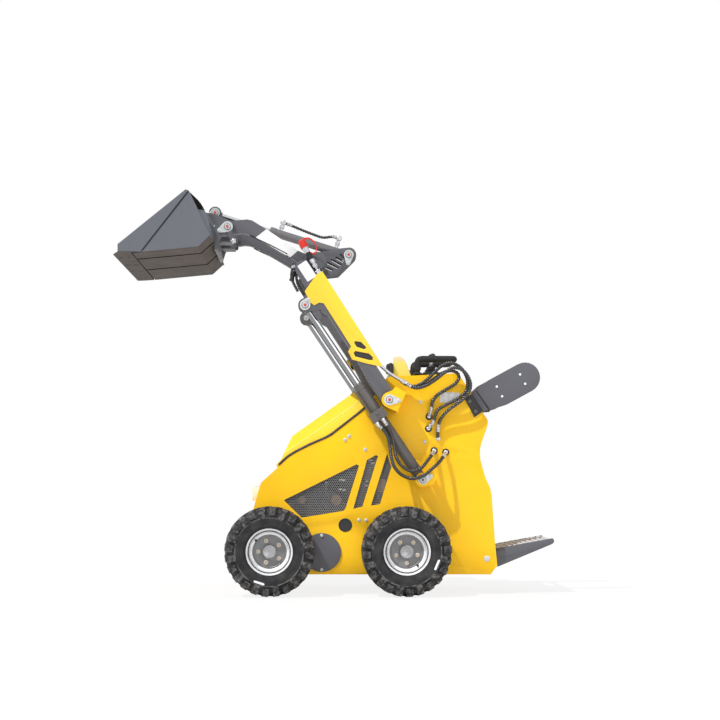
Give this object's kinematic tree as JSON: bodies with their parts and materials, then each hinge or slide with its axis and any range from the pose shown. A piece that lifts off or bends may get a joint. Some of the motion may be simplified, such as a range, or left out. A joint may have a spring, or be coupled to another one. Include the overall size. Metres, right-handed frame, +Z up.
{
  "type": "stand-on wheel loader",
  "caption": "Compact stand-on loader on rubber tyres with a raised hydraulic lift arm, a wide tilting bucket, an opening hood, folding hip guards and a rear step platform.",
  "frame": {"origin": "on the ground under the middle of the machine, midway between bucket lip and platform edge and between the axles", "axes": "+Z up, +X to the rear (the machine faces -X), +Y to the machine's right"},
  "size_m": [2.25, 1.05, 2.043],
  "materials": {
    "body_yellow": "glossy powder coat with light speckle",
    "cover_yellow": "glossy powder coat",
    "frame_grey": "satin powder coat on welded steel",
    "cylinder_grey": "satin paint",
    "rod_chrome": "hard chrome, polished",
    "pipe_zinc": "zinc plated tube",
    "wheel_silver": "silver paint, slightly dusty",
    "tyre_rubber": "chunky lugs with scuffed edges",
    "hose_rubber": "spiral wrapped hydraulic hose",
    "black_parts": "satin black",
    "lamp_lens": "pale lens"
  },
  "bodies": {
    "chassis": {"side_panel_left": "body_yellow", "side_panel_right": "body_yellow", "grille_left": "black_parts", "grille_right": "black_parts", "chain_cover_left": "frame_grey", "chain_cover_right": "frame_grey", "belly_plate": "body_yellow", "front_panel": "body_yellow", "rear_panel": "body_yellow", "tower_top": "body_yellow", "engine": "black_parts", "axle_front": "cylinder_grey", "axle_rear": "cylinder_grey", "arm_bracket_left": "body_yellow", "arm_bracket_right": "body_yellow", "cylinder_bracket_left": "body_yellow", "cylinder_bracket_right": "body_yellow", "console_fin": "cover_yellow", "controls": "black_parts", "guard_bracket_left": "black_parts", "guard_bracket_right": "black_parts", "front_lamps": "lamp_lens", "hose_arm_outer": "hose_rubber", "hose_arm_middle": "hose_rubber", "hose_arm_inner": "hose_rubber", "hose_lift_lower_left": "hose_rubber", "hose_lift_lower_right": "hose_rubber", "hose_lift_upper_left": "hose_rubber", "hose_lift_upper_right": "hose_rubber"},
    "hood": {"hood": "body_yellow"},
    "boom": {"lift_arm_left": "frame_grey", "lift_arm_right": "frame_grey", "elbow_tube": "frame_grey", "upper_arm_left": "frame_grey", "upper_arm_right": "frame_grey", "tilt_bracket": "frame_grey", "arm_cover_left": "cover_yellow", "arm_cover_right": "cover_yellow", "arm_pipes": "pipe_zinc"},
    "bucket": {"quick_attach": "frame_grey", "bucket": "frame_grey"},
    "tilt_barrel": {"tilt_barrel": "cylinder_grey", "hose_tilt": "hose_rubber"},
    "tilt_rod": {"tilt_rod": "rod_chrome"},
    "platform": {"platform": "frame_grey"},
    "wheel_front_left": {"tyre_front_left": "tyre_rubber", "rim_front_left": "wheel_silver"},
    "wheel_front_right": {"tyre_front_right": "tyre_rubber", "rim_front_right": "wheel_silver"},
    "wheel_rear_left": {"tyre_rear_left": "tyre_rubber", "rim_rear_left": "wheel_silver"},
    "wheel_rear_right": {"tyre_rear_right": "tyre_rubber", "rim_rear_right": "wheel_silver"},
    "lift_barrel_left": {"lift_barrel_left": "cylinder_grey"},
    "lift_rod_left": {"lift_rod_left": "rod_chrome"},
    "lift_barrel_right": {"lift_barrel_right": "cylinder_grey"},
    "lift_rod_right": {"lift_rod_right": "rod_chrome"},
    "guard_left": {"guard_plate_left": "frame_grey"},
    "guard_right": {"guard_plate_right": "frame_grey"}
  },
  "joints": [
    {"name": "roll_front_left", "type": "hinge", "parent": "chassis", "child": "wheel_front_left", "pos_m": [-0.3465, 0, 0.2285], "axis": [0, 1, 0], "continuous": true},
    {"name": "roll_front_right", "type": "hinge", "parent": "chassis", "child": "wheel_front_right", "pos_m": [-0.3465, 0, 0.2285], "axis": [0, 1, 0], "continuous": true},
    {"name": "roll_rear_left", "type": "hinge", "parent": "chassis", "child": "wheel_rear_left", "pos_m": [0.3465, 0, 0.2285], "axis": [0, 1, 0], "continuous": true},
    {"name": "roll_rear_right", "type": "hinge", "parent": "chassis", "child": "wheel_rear_right", "pos_m": [0.3465, 0, 0.2285], "axis": [0, 1, 0], "continuous": true},
    {"name": "lift", "type": "hinge", "parent": "chassis", "child": "boom", "pos_m": [0.262, 0, 0.998], "axis": [0, -1, 0], "range_deg": [0, 91.5], "deforming": ["hose_arm_outer", "hose_arm_middle", "hose_arm_inner"]},
    {"name": "tilt", "type": "hinge", "parent": "boom", "child": "bucket", "pos_m": [-0.57, 0, 1.899], "axis": [0, 1, 0], "range_deg": [-35, 105]},
    {"name": "lift_barrel_swing_left", "type": "hinge", "parent": "chassis", "child": "lift_barrel_left", "pos_m": [0.431, 0, 0.591], "axis": [0, -1, 0], "range_deg": [-2, 62], "deforming": ["hose_lift_lower_left", "hose_lift_upper_left"]},
    {"name": "lift_rod_slide_left", "type": "slide", "parent": "lift_barrel_left", "child": "lift_rod_left", "axis": [-0.5574, 0, 0.8302], "range_m": [-0.445, 0.01]},
    {"name": "lift_barrel_swing_right", "type": "hinge", "parent": "chassis", "child": "lift_barrel_right", "pos_m": [0.431, 0, 0.591], "axis": [0, -1, 0], "range_deg": [-2, 62], "deforming": ["hose_lift_lower_right", "hose_lift_upper_right"]},
    {"name": "lift_rod_slide_right", "type": "slide", "parent": "lift_barrel_right", "child": "lift_rod_right", "axis": [-0.5574, 0, 0.8302], "range_m": [-0.445, 0.01]},
    {"name": "tilt_barrel_swing", "type": "hinge", "parent": "boom", "child": "tilt_barrel", "pos_m": [0.061, 0, 1.783], "axis": [0, -1, 0], "range_deg": [-12, 12]},
    {"name": "tilt_rod_slide", "type": "slide", "parent": "tilt_barrel", "child": "tilt_rod", "axis": [-0.9539, 0, 0.3], "range_m": [-0.2, 0.07]},
    {"name": "hood_open", "type": "hinge", "parent": "chassis", "child": "hood", "pos_m": [-0.31, 0, 0.667], "axis": [0, 1, 0], "range_deg": [-58, 0]},
    {"name": "guard_swing_left", "type": "hinge", "parent": "chassis", "child": "guard_left", "pos_m": [0.7425, -0.2733, 0.996], "axis": [0.5679, 0, -0.8231], "range_deg": [0, 80]},
    {"name": "guard_swing_right", "type": "hinge", "parent": "chassis", "child": "guard_right", "pos_m": [0.7425, 0.2733, 0.996], "axis": [-0.5679, 0, 0.8231], "range_deg": [0, 80]},
    {"name": "platform_fold", "type": "hinge", "parent": "chassis", "child": "platform", "pos_m": [0.77, 0, 0.184], "axis": [0, -1, 0], "range_deg": [0, 75]}
  ],
  "couplings": [
    {"joint": "lift_barrel_swing_left", "follows": "lift", "ratio": 0.64722},
    {"joint": "lift_rod_slide_left", "follows": "lift", "m_per_rad": -0.26968},
    {"joint": "lift_barrel_swing_right", "follows": "lift", "ratio": 0.64722},
    {"joint": "lift_rod_slide_right", "follows": "lift", "m_per_rad": -0.26968},
    {"joint": "tilt_barrel_swing", "follows": "tilt", "ratio": -0.015},
    {"joint": "tilt_rod_slide", "follows": "tilt", "m_per_rad": -0.106}
  ]
}
